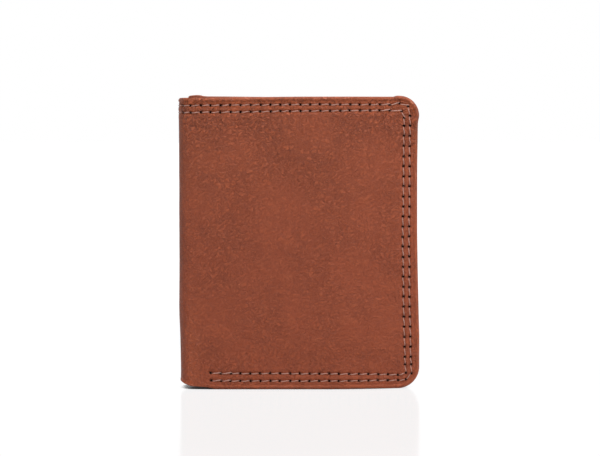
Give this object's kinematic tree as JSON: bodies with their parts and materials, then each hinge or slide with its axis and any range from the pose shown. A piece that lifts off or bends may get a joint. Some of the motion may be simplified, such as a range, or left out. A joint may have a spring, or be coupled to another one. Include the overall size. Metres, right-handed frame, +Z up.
{
  "type": "bifold wallet",
  "caption": "Portrait bifold wallet: a stitched leather shell folds round a soft spine and holds note compartments, tiered card pockets and a clear identity window.",
  "frame": {"origin": "centre of the closed wallet's footprint, on its bottom edge", "axes": "+X from the spine towards the free edges, +Y from the front cover towards the back cover, +Z up towards the mouths of the note compartments"},
  "size_m": [0.1, 0.018, 0.122],
  "materials": {
    "outer_leather": "tan, fine grain, semi-matt",
    "inner_leather": "tan, fine grain, matt",
    "pocket_leather": "tan, fine grain, semi-matt",
    "lining_cloth": "brown plain-weave lining",
    "tail_cloth": "dark brown plain-weave cloth",
    "thread": "pale taupe sewing thread",
    "clear_film": "thin clear plastic film"
  },
  "bodies": {
    "back_half": {"card_pocket_back_1": "pocket_leather", "card_pocket_back_2": "pocket_leather", "card_pocket_back_3": "pocket_leather", "id_window_film": "clear_film", "id_window_frame": "pocket_leather", "inner_wall_back": "inner_leather", "lining_back": "lining_cloth", "note_divider_back": "lining_cloth", "pocket_tail_back_1": "tail_cloth", "pocket_tail_back_2": "tail_cloth", "pocket_tail_back_3": "tail_cloth", "shell_back": "outer_leather", "thread_edge_inner_back": "thread", "thread_edge_outer_back": "thread", "thread_hem_inner_back": "thread", "thread_hem_outer_back": "thread", "thread_pocket_ends_back": "thread", "thread_under_inner_back": "thread", "thread_under_outer_back": "thread"},
    "spine": {"inner_wall_spine": "inner_leather", "lining_spine": "lining_cloth", "note_divider_spine": "lining_cloth", "shell_spine": "outer_leather", "thread_hem_inner_spine": "thread", "thread_hem_outer_spine": "thread"},
    "front_half": {"card_pocket_front_1": "pocket_leather", "card_pocket_front_2": "pocket_leather", "card_pocket_front_3": "pocket_leather", "card_pocket_front_4": "pocket_leather", "inner_wall_front": "inner_leather", "lining_front": "lining_cloth", "note_divider_front": "lining_cloth", "pocket_tail_front_1": "tail_cloth", "pocket_tail_front_2": "tail_cloth", "pocket_tail_front_3": "tail_cloth", "shell_front": "outer_leather", "thread_edge_inner_front": "thread", "thread_edge_outer_front": "thread", "thread_hem_inner_front": "thread", "thread_hem_outer_front": "thread", "thread_pocket_ends_front": "thread", "thread_under_inner_front": "thread", "thread_under_outer_front": "thread"}
  },
  "joints": [
    {"name": "back_fold", "type": "hinge", "parent": "back_half", "child": "spine", "pos_m": [-0.04868, 0.00768, 0.0605], "axis": [0, 0, -1], "range_deg": [0, 90]},
    {"name": "front_fold", "type": "hinge", "parent": "spine", "child": "front_half", "pos_m": [-0.04868, -0.00768, 0.0605], "axis": [0, 0, -1], "range_deg": [0, 90]}
  ],
  "couplings": [
    {"joint": "front_fold", "follows": "back_fold", "ratio": 1}
  ]
}
